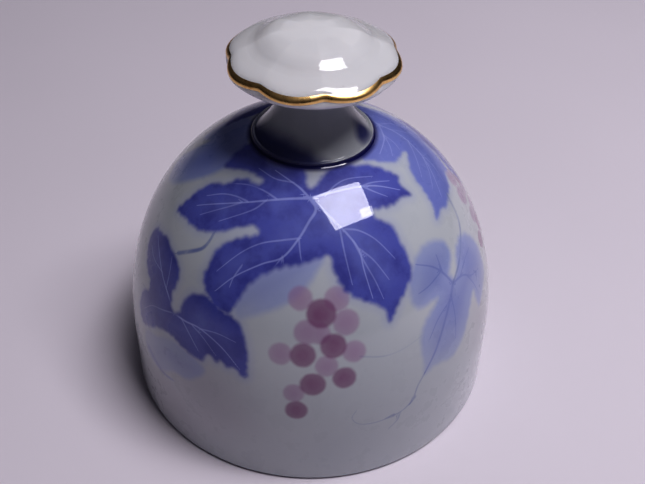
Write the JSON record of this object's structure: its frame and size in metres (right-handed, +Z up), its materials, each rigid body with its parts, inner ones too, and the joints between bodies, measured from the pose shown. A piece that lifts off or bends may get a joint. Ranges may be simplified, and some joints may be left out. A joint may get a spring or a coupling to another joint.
{
  "type": "table bell",
  "caption": "Domed porcelain hand bell painted with vine leaves and grapes, with a trumpet stem, a scalloped gilt-edged knob and a ball clapper hung on a fine chain.",
  "frame": {"origin": "centre of the mouth, on the surface that the bell stands on", "axes": "+Z up the bell's axis through the knob; -Y is the front, towards the large painted leaf; +X to its right"},
  "size_m": [0.076, 0.076, 0.078],
  "materials": {
    "painted_porcelain": "clear gloss glaze over underglaze cobalt and mauve painting",
    "white_porcelain": "clear gloss glaze, bluish white",
    "gilding": "bright fired gold",
    "cement": "matt cast cement",
    "chain_brass": "drawn brass wire, slightly dulled",
    "clapper_porcelain": "clear gloss glaze"
  },
  "bodies": {
    "bell": {"bell_shell": "painted_porcelain", "handle_stem": "white_porcelain", "handle_knob": "white_porcelain", "gilt_edge": "gilding", "crown_plug": "cement", "hanger_eye": "chain_brass"},
    "link_1": {"chain_link_1": "chain_brass"},
    "link_2": {"chain_link_2": "chain_brass"},
    "link_3": {"chain_link_3": "chain_brass"},
    "link_4": {"chain_link_4": "chain_brass"},
    "link_5": {"chain_link_5": "chain_brass"},
    "clapper": {"clapper_pin": "chain_brass", "stop_bead": "chain_brass"},
    "ball": {"clapper_ball": "clapper_porcelain"}
  },
  "joints": [
    {"name": "link_1_swing", "type": "hinge", "parent": "bell", "child": "link_1", "pos_m": [0, 0, 0.0498], "axis": [1, 0, 0], "range_deg": [-48, 48]},
    {"name": "link_2_swing", "type": "hinge", "parent": "link_1", "child": "link_2", "pos_m": [0, 0, 0.0454], "axis": [0, 1, 0], "range_deg": [-50, 50]},
    {"name": "link_3_swing", "type": "hinge", "parent": "link_2", "child": "link_3", "pos_m": [0, 0, 0.04095], "axis": [-1, 0, 0], "range_deg": [-45, 45]},
    {"name": "link_4_swing", "type": "hinge", "parent": "link_3", "child": "link_4", "pos_m": [0, 0, 0.0365], "axis": [0, -1, 0], "range_deg": [-45, 45]},
    {"name": "link_5_swing", "type": "hinge", "parent": "link_4", "child": "link_5", "pos_m": [0, 0, 0.03205], "axis": [1, 0, 0], "range_deg": [-45, 45]},
    {"name": "clapper_swing", "type": "hinge", "parent": "link_5", "child": "clapper", "pos_m": [0, 0, 0.0276], "axis": [0, 1, 0], "range_deg": [-45, 45]},
    {"name": "ball_spin", "type": "hinge", "parent": "clapper", "child": "ball", "pos_m": [0, 0, 0.01706], "axis": [0, 0, 1], "continuous": true}
  ]
}
